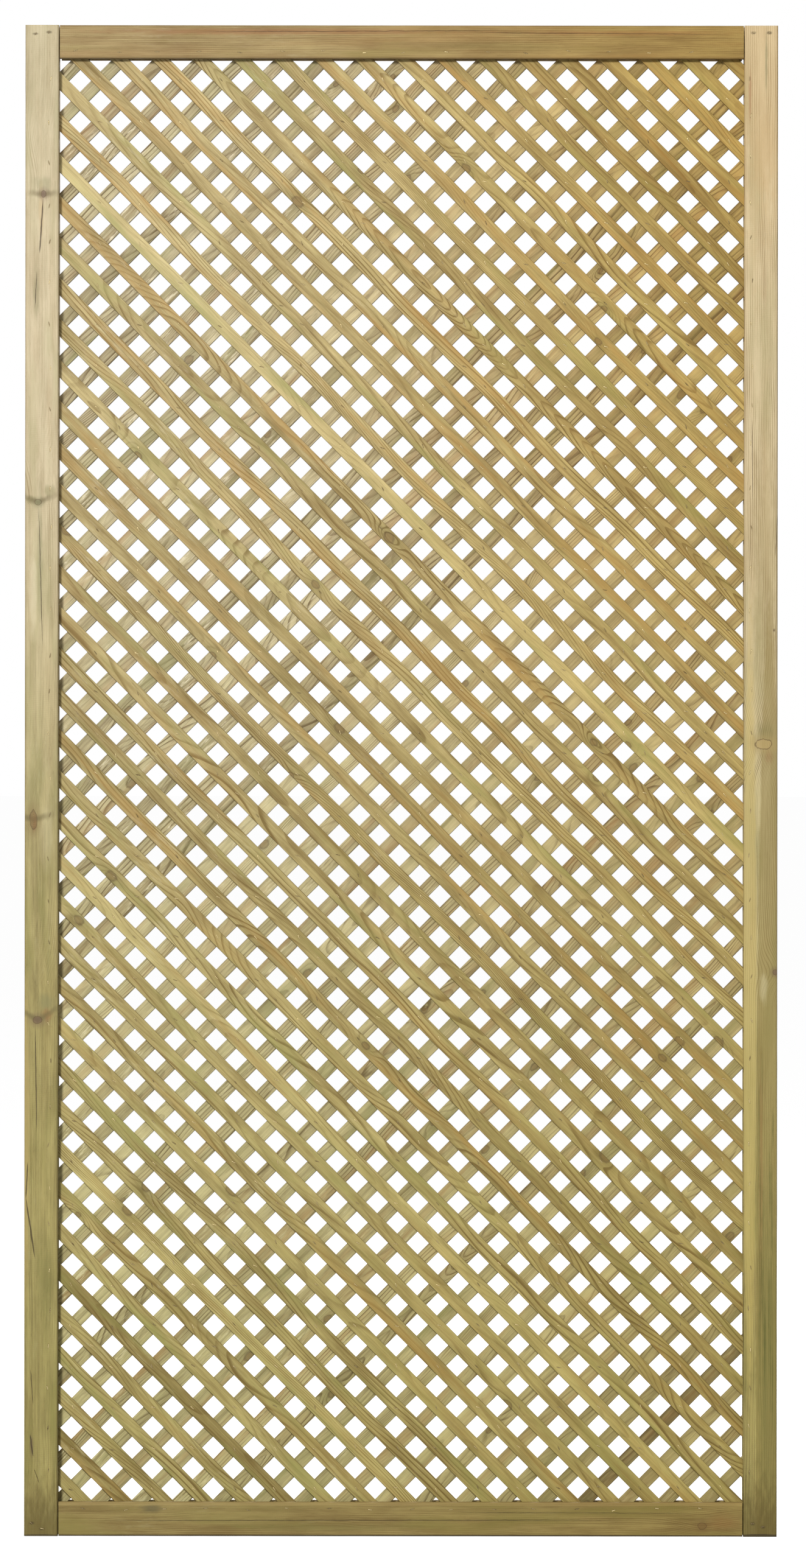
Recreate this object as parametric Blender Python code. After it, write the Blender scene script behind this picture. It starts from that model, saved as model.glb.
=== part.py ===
"""Diamond trellis panel.

Two layers of slanting laths cross to make the lattice, which is held between a
front frame and a back frame of flat battens. Sizes are in metres, +Z is up, the
front faces -Y, and the origin is under the middle of the panel.
"""

from collections import namedtuple
from math import cos, hypot, radians, sin

import bmesh
import bpy
from mathutils import Matrix, Vector

# The whole panel
PANEL_WIDTH = 0.912
PANEL_HEIGHT = 1.830

# Battens of the front and back frames
STILE_WIDTH = 0.0415
TOP_RAIL_WIDTH = 0.0410
BOTTOM_RAIL_WIDTH = 0.0420
BATTEN_THICKNESS = 0.0125
BATTEN_EDGE_RADIUS = 0.0015
BACK_RAIL_END_GAP = 0.0015  # the back rails are cut a little short of their stiles

# Laths, whose lean is measured from level, along the lath
LATH_WIDTH = 0.0165
LATH_THICKNESS = 0.0060
LATH_EDGE_RADIUS = 0.0006
LATH_END_INSET = 0.0040  # from the panel's outline to the lath's cut end

# Spacing of each layer, square to its laths, and where its middle lath lies
# from the panel's centre
FRONT_LEAN = radians(-45.23)
FRONT_PITCH = 0.03504
FRONT_START = -0.01243
BACK_LEAN = radians(45.12)
BACK_PITCH = 0.03474
BACK_START = -0.01061

# Where a front and a back lath are fastened to make a pair
FASTENED_SIDE = 0.0100  # of the square spot that holds them
LEAST_FROM_END = 0.0250  # a lath fastened nearer its cut end would split
BORDER_STEP = 0.0040  # by which the border where pairs are looked for grows

# Between pieces that touch
FIT_GAP = 0.0003

# Places that follow from the sizes above
FRONT_LATH_Y = -(FIT_GAP + LATH_THICKNESS) / 2
BACK_LATH_Y = -FRONT_LATH_Y
BATTEN_Y = FIT_GAP * 1.5 + LATH_THICKNESS + BATTEN_THICKNESS / 2
CENTRE = Vector((0.0, 0.0, PANEL_HEIGHT / 2))
HALF_LATTICE_WIDTH = PANEL_WIDTH / 2 - LATH_END_INSET
HALF_LATTICE_HEIGHT = PANEL_HEIGHT / 2 - LATH_END_INSET

Lath = namedtuple("Lath", "along across offset y")


def clear_scene():
    """Removes whatever the file opened with."""
    for obj in list(bpy.data.objects):
        bpy.data.objects.remove(obj, do_unlink=True)


def wood(name, colour, roughness):
    """A plain wood finish."""
    material = bpy.data.materials.new(name)
    material.use_nodes = True
    shader = material.node_tree.nodes["Principled BSDF"]
    shader.inputs["Base Color"].default_value = (*colour, 1.0)
    shader.inputs["Roughness"].default_value = roughness
    shader.inputs["Metallic"].default_value = 0.0
    return material


def add_object(name, mesh, place, parent):
    """Puts a mesh in the scene as one named object at its place."""
    obj = bpy.data.objects.new(name, mesh)
    bpy.context.collection.objects.link(obj)
    obj.location = place
    obj.parent = parent
    return obj


def eased_bar(length, width, thickness, radius, segments):
    """A bar along X, its width along Z, with its four long edges eased."""
    bm = bmesh.new()
    bmesh.ops.create_cube(bm, size=1.0)
    bmesh.ops.scale(bm, vec=(length, thickness, width), verts=bm.verts)
    long_edges = [
        edge for edge in bm.edges
        if abs(edge.verts[0].co.x - edge.verts[1].co.x) > length / 2
    ]
    bmesh.ops.bevel(
        bm, geom=long_edges, offset=radius, segments=segments, profile=0.5,
        affect="EDGES", clamp_overlap=True,
    )
    return bm


def finished_mesh(bm, name, material):
    """Turns a bmesh into a mesh with one material and its rounded edges smooth."""
    bmesh.ops.recalc_face_normals(bm, faces=bm.faces)
    mesh = bpy.data.meshes.new(name)
    bm.to_mesh(mesh)
    bm.free()
    mesh.materials.append(material)
    mesh.shade_smooth()
    mesh.set_sharp_from_angle(angle=radians(40))
    return mesh


def add_batten(name, length, width, upright, place, material, parent):
    """One batten of a frame, lying level or standing upright."""
    bm = eased_bar(length, width, BATTEN_THICKNESS, BATTEN_EDGE_RADIUS, 3)
    if upright:
        bmesh.ops.rotate(bm, matrix=Matrix.Rotation(radians(90), 3, "Y"), verts=bm.verts)
    add_object(name, finished_mesh(bm, name, material), place, parent)


def add_frame(side, y, rail_end_gap, stile_wood, rail_wood, parent):
    """Two full-height stiles with two rails butted between them."""
    stile_x = (PANEL_WIDTH - STILE_WIDTH) / 2
    for hand, x in (("left", -stile_x), ("right", stile_x)):
        place = Vector((x, y, PANEL_HEIGHT / 2))
        add_batten(
            f"{side}_{hand}_stile", PANEL_HEIGHT, STILE_WIDTH, True, place, stile_wood, parent
        )
    rail_length = PANEL_WIDTH - 2 * STILE_WIDTH - 2 * rail_end_gap
    top = Vector((0.0, y, PANEL_HEIGHT - TOP_RAIL_WIDTH / 2))
    bottom = Vector((0.0, y, BOTTOM_RAIL_WIDTH / 2))
    add_batten(f"{side}_top_rail", rail_length, TOP_RAIL_WIDTH, False, top, rail_wood, parent)
    add_batten(
        f"{side}_bottom_rail", rail_length, BOTTOM_RAIL_WIDTH, False, bottom, rail_wood, parent
    )


def shown_reach(across):
    """How far the opening in the frame reaches from the centre, each way square to a layer's laths."""
    half_width = PANEL_WIDTH / 2 - STILE_WIDTH
    top = PANEL_HEIGHT / 2 - TOP_RAIL_WIDTH
    bottom = BOTTOM_RAIL_WIDTH - PANEL_HEIGHT / 2
    corners = [
        across.x * x + across.z * z
        for x in (-half_width, half_width)
        for z in (bottom, top)
    ]
    return min(corners), max(corners)


def layer_of_laths(lean, pitch, start, y):
    """Every lath of one layer whose middle crosses the opening, in order across the layer."""
    along = Vector((cos(lean), 0.0, sin(lean)))
    across = Vector((-along.z, 0.0, along.x))
    lowest, highest = shown_reach(across)
    steps = int((highest - lowest) / pitch) + 2
    laths = []
    for step in range(-steps, steps + 1):
        offset = start + step * pitch
        if lowest < offset < highest:
            laths.append(Lath(along, across, offset, y))
    return laths


def cut_to_lattice(bm, centre):
    """Saws a bar off along the four sides of the lattice. The bar is drawn round its own centre."""
    sides = (
        (Vector((1.0, 0.0, 0.0)), HALF_LATTICE_WIDTH),
        (Vector((-1.0, 0.0, 0.0)), HALF_LATTICE_WIDTH),
        (Vector((0.0, 0.0, 1.0)), HALF_LATTICE_HEIGHT),
        (Vector((0.0, 0.0, -1.0)), HALF_LATTICE_HEIGHT),
    )
    for outward, reach in sides:
        geometry = bm.verts[:] + bm.edges[:] + bm.faces[:]
        cut = bmesh.ops.bisect_plane(
            bm, geom=geometry, dist=1e-6, plane_co=outward * reach - centre,
            plane_no=outward, clear_outer=True,
        )
        rim = [item for item in cut["geom_cut"] if isinstance(item, bmesh.types.BMEdge)]
        if rim:
            bmesh.ops.edgeloop_fill(bm, edges=rim)


def lath_bar(lath, origin):
    """A lath cut to the lattice's outline, drawn round a point of the lattice."""
    length = 2 * hypot(PANEL_WIDTH, PANEL_HEIGHT)
    bm = eased_bar(length, LATH_WIDTH, LATH_THICKNESS, LATH_EDGE_RADIUS, 1)
    turn = Matrix((lath.along, (0.0, 1.0, 0.0), lath.across)).transposed()
    bmesh.ops.rotate(bm, matrix=turn, verts=bm.verts)
    place = lath.across * lath.offset + Vector((0.0, lath.y, 0.0)) - origin
    bmesh.ops.translate(bm, vec=place, verts=bm.verts)
    cut_to_lattice(bm, origin)
    return bm


def crossing(front, back):
    """Where the middles of two laths cross, from the panel's centre."""
    turn = front.across.x * back.across.z - front.across.z * back.across.x
    x = (front.offset * back.across.z - back.offset * front.across.z) / turn
    z = (back.offset * front.across.x - front.offset * back.across.x) / turn
    return Vector((x, 0.0, z))


def depth_inside(point):
    """How far inside the lattice's outline a point lies."""
    return min(HALF_LATTICE_WIDTH - abs(point.x), HALF_LATTICE_HEIGHT - abs(point.z))


def match_laths(fronts, backs, border):
    """Gives front laths back laths that cross them within a border along the outline.

    Augmenting paths find the most pairs. The result maps a back lath's index to
    its front lath's index.
    """
    front_of = {}

    def find_back(front_index, tried):
        depths = [depth_inside(crossing(fronts[front_index], back)) for back in backs]
        in_border = [b for b, depth in enumerate(depths) if LEAST_FROM_END < depth < border]
        for back_index in sorted(in_border, key=lambda b: depths[b]):
            if back_index in tried:
                continue
            tried.add(back_index)
            free = back_index not in front_of
            if free or find_back(front_of[back_index], tried):
                front_of[back_index] = front_index
                return True
        return False

    for front_index in range(len(fronts)):
        find_back(front_index, set())
    return front_of


def pair_laths(fronts, backs):
    """Pairs each front lath with a back lath that it meets under the frame, or as near it as can be.

    A lath that is left over stays single.
    """
    most = min(len(fronts), len(backs))
    border = LEAST_FROM_END
    front_of = {}
    while len(front_of) < most and border < HALF_LATTICE_WIDTH:
        border += BORDER_STEP
        front_of = match_laths(fronts, backs, border)
    pairs = [(fronts[front_index], backs[b]) for b, front_index in front_of.items()]
    pairs.sort(key=lambda pair: crossing(*pair).z, reverse=True)
    paired = set(front_of.values())
    single = [front for index, front in enumerate(fronts) if index not in paired]
    single += [back for index, back in enumerate(backs) if index not in front_of]
    return pairs, single


def fastening_block(front):
    """The spot where a front and a back lath are pinned hard together, from the middle of
    one lath's thickness to the middle of the other's.
    """
    bm = bmesh.new()
    bmesh.ops.create_cube(bm, size=1.0)
    depth = FIT_GAP + LATH_THICKNESS
    bmesh.ops.scale(bm, vec=(FASTENED_SIDE, depth, FASTENED_SIDE), verts=bm.verts)
    turn = Matrix((front.along, (0.0, 1.0, 0.0), front.across)).transposed()
    bmesh.ops.rotate(bm, matrix=turn, verts=bm.verts)
    return bm


def add_helper(name, bm, place, parent, material):
    """A solid that another one is joined with. It isn't part of the panel itself."""
    helper = add_object(name, finished_mesh(bm, name, material), place, parent)
    helper.hide_render = True
    helper.display_type = "WIRE"
    return helper


def join(obj, helper):
    """Joins a helper to an object with a Boolean union."""
    union = obj.modifiers.new(f"join {helper.name}", "BOOLEAN")
    union.operation = "UNION"
    union.solver = "EXACT"
    union.object = helper


def add_crossed_laths(number, front, back, front_wood, back_wood, parent):
    """One front and one back lath, fastened where they cross."""
    point = crossing(front, back)
    name = f"crossed_laths_{number:02d}"
    place = CENTRE + point
    mesh = finished_mesh(lath_bar(front, point), name, front_wood)
    pair = add_object(name, mesh, place, parent)
    back_bar = lath_bar(back, point)
    helper = add_helper(f"{name}.back", back_bar, place, parent, back_wood)
    pin = add_helper(f"{name}.pin", fastening_block(front), place, parent, front_wood)
    join(pair, pin)
    join(pair, helper)


def add_lattice(parent):
    """Both layers of laths, in crossed pairs."""
    front_wood = wood("front lath wood", (0.50, 0.37, 0.16), 0.75)
    back_wood = wood("back lath wood", (0.44, 0.33, 0.15), 0.78)
    fronts = layer_of_laths(FRONT_LEAN, FRONT_PITCH, FRONT_START, FRONT_LATH_Y)
    backs = layer_of_laths(BACK_LEAN, BACK_PITCH, BACK_START, BACK_LATH_Y)
    pairs, single = pair_laths(fronts, backs)
    for number, (front, back) in enumerate(pairs, 1):
        add_crossed_laths(number, front, back, front_wood, back_wood, parent)
    for number, lath in enumerate(single, 1):
        name = f"single_lath_{number:02d}"
        mesh = finished_mesh(lath_bar(lath, Vector()), name, front_wood)
        add_object(name, mesh, CENTRE, parent)


def main():
    clear_scene()
    panel = bpy.data.objects.new("trellis_panel", None)
    bpy.context.collection.objects.link(panel)
    stile_wood = wood("stile wood", (0.42, 0.33, 0.16), 0.72)
    rail_wood = wood("rail wood", (0.38, 0.29, 0.12), 0.74)
    add_frame("front", -BATTEN_Y, FIT_GAP, stile_wood, rail_wood, panel)
    add_frame("back", BATTEN_Y, BACK_RAIL_END_GAP, stile_wood, rail_wood, panel)
    add_lattice(panel)


main()
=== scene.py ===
"""Looks of the diamond trellis panel.

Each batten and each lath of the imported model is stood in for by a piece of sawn
softwood with its own grain, knots and stain. Staples are set where laths cross and
along the frame. Sizes are in metres, +Z is up and the front faces -Y.
"""

import random
from collections import namedtuple
from math import atan2, cos, hypot, pi, radians, sin

import bpy
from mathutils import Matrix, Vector


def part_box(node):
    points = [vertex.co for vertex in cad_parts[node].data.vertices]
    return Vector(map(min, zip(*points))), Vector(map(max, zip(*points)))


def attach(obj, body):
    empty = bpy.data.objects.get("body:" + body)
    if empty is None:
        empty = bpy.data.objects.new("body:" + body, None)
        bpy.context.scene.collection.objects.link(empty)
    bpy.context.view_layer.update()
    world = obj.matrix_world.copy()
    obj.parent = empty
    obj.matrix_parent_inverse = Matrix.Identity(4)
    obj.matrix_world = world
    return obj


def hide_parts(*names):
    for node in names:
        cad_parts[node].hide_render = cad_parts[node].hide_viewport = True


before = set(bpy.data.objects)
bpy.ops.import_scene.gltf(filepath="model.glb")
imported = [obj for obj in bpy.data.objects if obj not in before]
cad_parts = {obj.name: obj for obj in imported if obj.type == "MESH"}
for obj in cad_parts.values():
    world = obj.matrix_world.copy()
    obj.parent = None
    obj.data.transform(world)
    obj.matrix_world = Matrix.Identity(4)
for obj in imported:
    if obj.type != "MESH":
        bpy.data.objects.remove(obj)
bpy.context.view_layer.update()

# The panel, as its solids have it
PANEL_WIDTH = 0.912
PANEL_HEIGHT = 1.830
STILE_WIDTH = 0.0415
TOP_RAIL_WIDTH = 0.0410
BOTTOM_RAIL_WIDTH = 0.0420
BATTEN_THICKNESS = 0.0125
LATH_WIDTH = 0.0165
LATH_THICKNESS = 0.0060
LATH_END_INSET = 0.0040
FIT_GAP = 0.0003
MID_HEIGHT = PANEL_HEIGHT / 2
OPENING_TOP = MID_HEIGHT - TOP_RAIL_WIDTH
OPENING_BOTTOM = BOTTOM_RAIL_WIDTH - MID_HEIGHT
OPENING_SIDE = PANEL_WIDTH / 2 - STILE_WIDTH
LATH_MIDDLE = (FIT_GAP + LATH_THICKNESS) / 2  # from the panel's middle plane
LATH_FACE = FIT_GAP / 2 + LATH_THICKNESS
BATTEN_FACE = 1.5 * FIT_GAP + LATH_THICKNESS + BATTEN_THICKNESS

# Each layer of laths: lean from level, spacing square to the laths, and how far
# its middle lath lies from the panel's centre
Layer = namedtuple("Layer", "lean pitch start")
FRONT = Layer(radians(-45.23), 0.03504, -0.01243)
BACK = Layer(radians(45.12), 0.03474, -0.01061)
FIRST_LATH = -25
LATHS_IN_LAYER = 52

# Sawn timber is never quite true
BATTEN_EDGE = 0.0014
BATTEN_SHRINK = 0.00025  # how far its faces lie inside the batten's full size
BATTEN_DIVISION = 0.008
BATTEN_WOBBLE = 0.00035
LATH_EDGE = 0.0007
LATH_DIVISION = 0.009
LATH_BOW = 0.0005
LATH_WOBBLE = 0.0007

# Between which values the laths' looks fall by chance: green to brown, how strong their
# lines are, how far their tone strays, where the pith was and how wide the rings are
LATH_HUES = (-0.5, 0.6)
LATH_LINES = (0.4, 0.6, 0.8, 1.0, 1.3)
LATH_TONE_SPREAD = 0.08
LATH_PITH_ACROSS = (-0.03, 0.03)
LATH_PITH_DEEP = (0.008, 0.045)
LATH_RINGS = (0.0014, 0.0034)

# Knots of the laths: how far apart they may come, their sizes and how they bend the grain
KNOT_ROOM = 0.36
KNOT_SHARE = 0.30  # of the places where a knot may come
LEAST_KNOT = 0.0024
KNOT_GROWTH = 0.008  # how much the chance that makes a knot also widens it
KNOT_STRETCH = 1.5
KNOT_BEND = 0.005
KNOT_BEND_ALONG = 0.020
KNOT_BEND_ACROSS = 0.008
NOWHERE = 99.0  # added to the distance from a knot that isn't there

# How strongly the stain round a knot, its heart and its rim show, how deep the rim lies
# in the relief, the rings within a knot and the seam that climbs from some
KnotShade = namedtuple("KnotShade", "halo heart rim")
LATH_KNOT = KnotShade(0.34, 0.50, 0.50)
BATTEN_KNOT = KnotShade(0.38, 0.40, 0.60)
KNOT_RIM_DEPTH = 0.8
KNOT_RINGS = 5.0
SEAM_WIDTH = 0.0060
SEAM_SHADE = 0.70
FLAME = 0.048  # how far the rings of a lath swing along it, which draws flames

# Staples
STAPLE_HALF_CROWN = 0.0025
STAPLE_LEG = 0.0022
STAPLE_WIRE = 0.00038
STAPLE_BEND = 0.0007
LATH_STAPLE_SINK = 0.00016  # from the wood's face down to the middle of the crown's wire
BATTEN_STAPLE_SINK = 0.00026
STAPLE_CLEARANCE = 0.0042  # least room from a crossing's staple to the frame
DENT_LENGTH = 0.0030
DENT_WIDTH = 0.0007

# The staples hold every second crossing, like the black squares of a chess board, or
# the white ones in the upper right and the lower left of the panel. A few hold others.
WHITE_FROM_RIGHT = 4
WHITE_FROM_BELOW = -12
EXTRA_STAPLES = 0.12

# A row of staples: its step, how they are turned from it and by how much that varies,
# how far they stray from their marks, and how far the row reaches from its middle
Row = namedtuple("Row", "step turn swing drift_along drift_across reach")
BATTEN_ROW_STEP = 0.0496
STILE_ROW = Row(BATTEN_ROW_STEP, 0.0, 0.7, 0.009, 0.0040, 0.855)
RAIL_ROW = Row(BATTEN_ROW_STEP, 0.0, 0.7, 0.007, 0.0030, 0.400)
CROSSING_TURN = 0.05
CROSSING_SWING = 1.1
CROSSING_DRIFT = 0.0036
PAIR_TURN = 0.4
PAIR_SWING = 1.6

# Angles above which an edge stays sharp in the render
TIMBER_SHARP = radians(12)
WIRE_SHARP = radians(70)

# The camera, which frames the panel as the photograph does
PHOTO_HEIGHT = 2576
PIXELS_PER_METRE = 1357.1
CAMERA_DISTANCE = 10.0
CAMERA_X = 0.0023
CAMERA_Z = 0.9112
CAMERA_ROLL = radians(0.06)
CAMERA_SENSOR = 36.0
CAMERA_END = 2000.0

# The surroundings: how bright they are for the panel, and how they look to the camera
WORLD_LIGHT = 0.13
FLOOR_GLOW = 0.88
FLOOR_PALE = 0.80
FLOOR_WHITE = 0.48
FLOOR_HALF = 600.0

# Square soft lights that face the panel's centre: place, size and power in watts
Light = namedtuple("Light", "name place size watts")
LIGHTS = (
    Light("behind", (2.6, 5.0, MID_HEIGHT + 2.4), 1.6, 270.0),
    Light("key", (-2.1, -6.0, MID_HEIGHT + 2.5), 1.0, 385.0),
    Light("overhead", (0.0, -1.3, 3.2), 1.2, 11.0),
)


def paint(red, green, blue):
    """A colour written as it looks, each part from 0 to 255, as the renderer takes it."""
    parts = []
    for value in (red, green, blue):
        share = value / 255
        parts.append(share / 12.92 if share <= 0.04045 else ((share + 0.055) / 1.055) ** 2.4)
    return (*parts, 1.0)


# Fields: the values that flow through a node tree


def put(tree, socket, value):
    """Gives a socket a plain value, or wires a field to it."""
    if isinstance(value, Field):
        tree.links.new(value.socket, socket)
    else:
        socket.default_value = value


class Field:
    """One output of a node. Sums and products of fields add the nodes that work them out."""

    def __init__(self, tree, socket):
        self.tree = tree
        self.socket = socket

    def math(self, operation, *others):
        node = self.tree.nodes.new("ShaderNodeMath")
        node.operation = operation
        for socket, value in zip(node.inputs, (self, *others)):
            put(self.tree, socket, value)
        return Field(self.tree, node.outputs[0])

    def __add__(self, other):
        return self.math("ADD", other)

    def __sub__(self, other):
        return self.math("SUBTRACT", other)

    def __mul__(self, other):
        return self.math("MULTIPLY", other)

    def __truediv__(self, other):
        return self.math("DIVIDE", other)

    def __neg__(self):
        return self.math("MULTIPLY", -1.0)

    __radd__ = __add__
    __rmul__ = __mul__

    def __rsub__(self, other):
        return -self + other

    def least(self, other):
        return self.math("MINIMUM", other)

    def most(self, other):
        return self.math("MAXIMUM", other)

    def size(self):
        return self.math("ABSOLUTE")

    def rounded(self):
        return self.math("ROUND")

    def rise(self, low, high):
        """0 below low, 1 above high, with a soft step between."""
        node = self.tree.nodes.new("ShaderNodeMapRange")
        node.interpolation_type = "SMOOTHSTEP"
        put(self.tree, node.inputs["Value"], self)
        put(self.tree, node.inputs["From Min"], low)
        put(self.tree, node.inputs["From Max"], high)
        return Field(self.tree, node.outputs["Result"])

    def fall(self, low, high):
        """1 below low, 0 above high, with a soft step between."""
        return 1.0 - self.rise(low, high)

    def parts(self):
        """The three parts of a vector or colour."""
        node = self.tree.nodes.new("ShaderNodeSeparateXYZ")
        put(self.tree, node.inputs[0], self)
        return [Field(self.tree, socket) for socket in node.outputs]


def bundle(tree, x, y, z):
    """A vector made of three values."""
    node = tree.nodes.new("ShaderNodeCombineXYZ")
    for socket, value in zip(node.inputs, (x, y, z)):
        put(tree, socket, value)
    return Field(tree, node.outputs[0])


def clouds(tree, place, detail=2.0, rough=0.5):
    """Smooth noise from 0 to 1 over a place that is already scaled."""
    node = tree.nodes.new("ShaderNodeTexNoise")
    put(tree, node.inputs["Vector"], place)
    node.inputs["Scale"].default_value = 1.0
    node.inputs["Detail"].default_value = detail
    node.inputs["Roughness"].default_value = rough
    return Field(tree, node.outputs[0])


def dice(tree, place):
    """Three chance numbers from 0 to 1 for each whole-numbered place."""
    node = tree.nodes.new("ShaderNodeTexWhiteNoise")
    put(tree, node.inputs["Vector"], place)
    return Field(tree, node.outputs["Color"]).parts()


def tint(tree, share, under, over, blend="MIX"):
    """One colour laid over another by a share, as paint or, multiplied, as a glaze."""
    node = tree.nodes.new("ShaderNodeMix")
    node.data_type = "RGBA"
    node.blend_type = blend
    put(tree, node.inputs[0], share)
    put(tree, node.inputs[6], under)
    put(tree, node.inputs[7], over)
    return Field(tree, node.outputs[2])


def new_tree(name, kind, inputs, outputs):
    """An empty node group with named inputs and outputs, and its inputs as fields."""
    tree = bpy.data.node_groups.new(name, kind)
    for label, socket_type in inputs:
        tree.interface.new_socket(label, in_out="INPUT", socket_type=socket_type)
    for label, socket_type in outputs:
        tree.interface.new_socket(label, in_out="OUTPUT", socket_type=socket_type)
    entry = tree.nodes.new("NodeGroupInput")
    fields = {socket.name: Field(tree, socket) for socket in entry.outputs if socket.name}
    return tree, fields


def step(tree, kind, inputs=None, **settings):
    """A node with its settings and inputs given, and its first output as a field."""
    node = tree.nodes.new(kind)
    for name, value in settings.items():
        setattr(node, name, value)
    for name, value in (inputs or {}).items():
        put(tree, node.inputs[name], value)
    return Field(tree, node.outputs[0])


# Bars of timber

NUMBER = "NodeSocketFloat"
VECTOR = "NodeSocketVector"
WHOLE = "NodeSocketInt"
MATERIAL = "NodeSocketMaterial"
GEOMETRY = "NodeSocketGeometry"
COLOUR = "NodeSocketColor"

BAR_INPUTS = [
    ("Width", NUMBER), ("Thickness", NUMBER), ("Edge", NUMBER), ("Division", NUMBER),
    ("Lean", NUMBER), ("Bow", NUMBER), ("Wobble", NUMBER), ("Seed", NUMBER),
    ("First Mark", NUMBER), ("Mark Step", NUMBER), ("Mark Row", NUMBER),
    ("Look", VECTOR), ("Pith", VECTOR), ("Place", VECTOR), ("Material", MATERIAL),
]


def straight_bar(tree, inputs, length):
    """A bar with rounded edges: 0 to 1 along X, its thickness along Y and its width along Z."""
    line = step(tree, "GeometryNodeCurvePrimitiveLine", {"End": (1.0, 0.0, 0.0)})
    count = (length / inputs["Division"]).math("CEIL") + 1.0
    line = step(tree, "GeometryNodeResampleCurve", {"Curve": line, "Count": count})
    outline = step(
        tree, "GeometryNodeCurvePrimitiveQuadrilateral",
        {"Width": inputs["Thickness"], "Height": inputs["Width"]},
    )
    outline = step(
        tree, "GeometryNodeFilletCurve",
        {"Curve": outline, "Count": 2, "Radius": inputs["Edge"], "Limit Radius": True},
        mode="POLY",
    )
    return step(
        tree, "GeometryNodeCurveToMesh",
        {"Curve": line, "Profile Curve": outline, "Fill Caps": True},
    )


def keep(tree, geometry, name, value):
    """Stores a vector on the geometry's points, for its material to read."""
    return step(
        tree, "GeometryNodeStoreNamedAttribute",
        {"Geometry": geometry, "Name": name, "Value": value},
        data_type="FLOAT_VECTOR", domain="POINT",
    )


def uneven(tree, inputs, along, across, depth):
    """Takes a little off a bar's width and thickness here and there, as a saw does."""
    side = across.math("SIGN")
    slow = clouds(tree, bundle(tree, along * 30.0, side * 3.0, inputs["Seed"]), 3.0)
    face = depth.math("SIGN")
    flat = clouds(tree, bundle(tree, along * 12.0, face * 5.0, inputs["Seed"] + 40.0), 2.0)
    wobble = inputs["Wobble"]
    new_across = across - side * slow * wobble
    new_depth = depth - face * flat * wobble * 0.5
    return new_across, new_depth


def leaned(tree, place, lean, along, across, depth):
    """A place given along and across a leaning piece, in the panel's own directions."""
    x0, y0, z0 = place.parts()
    run = lean.math("COSINE")
    climb = lean.math("SINE")
    x = x0 + run * along - climb * across
    z = z0 + climb * along + run * across
    return bundle(tree, x, y0 + depth, z)


def finish_bar(tree, inputs, bar, along, across, depth, sag):
    """Puts a bar's points in place, stores its grain and ends the tree."""
    count = (along - inputs["First Mark"]) / inputs["Mark Step"]
    marks = bundle(tree, count, across + sag - inputs["Mark Row"], inputs["Seed"])
    place = leaned(tree, inputs["Place"], inputs["Lean"], along, across + sag, depth)
    bar = keep(tree, bar, "grain", bundle(tree, along, across, depth))
    bar = keep(tree, bar, "marks", marks)
    bar = keep(tree, bar, "look", inputs["Look"])
    bar = keep(tree, bar, "pith", inputs["Pith"])
    bar = step(tree, "GeometryNodeSetPosition", {"Geometry": bar, "Position": place})
    return end_tree(tree, bar, inputs["Material"])


def end_tree(tree, geometry, material):
    """Makes instances real, sets the material and ends the tree."""
    geometry = step(tree, "GeometryNodeRealizeInstances", {"Geometry": geometry})
    geometry = step(
        tree, "GeometryNodeSetMaterial", {"Geometry": geometry, "Material": material}
    )
    ending = tree.nodes.new("NodeGroupOutput")
    put(tree, ending.inputs[0], geometry)
    return tree


def batten_tree():
    """A batten of a stated length, sawn square at both ends."""
    tree, inputs = new_tree(
        "batten", "GeometryNodeTree", [("Length", NUMBER)] + BAR_INPUTS, [("Batten", GEOMETRY)]
    )
    bar = straight_bar(tree, inputs, inputs["Length"])
    share, depth, across = step(tree, "GeometryNodeInputPosition").parts()
    along = (share - 0.5) * inputs["Length"]
    across, depth = uneven(tree, inputs, along, across, depth)
    return finish_bar(tree, inputs, bar, along, across, depth, 0.0)


def reach_of(inputs, across):
    """How far a lath runs each way from the middle of the lattice, at a place across it."""
    run = inputs["Lean"].math("COSINE")
    climb = inputs["Lean"].math("SINE")
    off_line = inputs["Offset"] + across
    right = (inputs["Half Width"] + climb * off_line) / run
    left = (-inputs["Half Width"] + climb * off_line) / run
    upper = (inputs["Half Height"] - run * off_line) / climb
    lower = (-inputs["Half Height"] - run * off_line) / climb
    first = left.most(upper.least(lower))
    last = right.least(upper.most(lower))
    return first, last


def lath_tree():
    """A slanting lath, sawn off where it meets the lattice's outline."""
    own = [("Offset", NUMBER), ("Half Width", NUMBER), ("Half Height", NUMBER)]
    tree, inputs = new_tree("lath", "GeometryNodeTree", own + BAR_INPUTS, [("Lath", GEOMETRY)])
    first, last = reach_of(inputs, 0.0)
    bar = straight_bar(tree, inputs, last - first)
    share, depth, across = step(tree, "GeometryNodeInputPosition").parts()
    first, last = reach_of(inputs, across)
    along = first + (last - first) * share
    across, depth = uneven(tree, inputs, along, across, depth)
    sag = inputs["Bow"] * (share * pi).math("SINE") + inputs["Offset"]
    return finish_bar(tree, inputs, bar, along, across, depth, sag)


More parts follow.
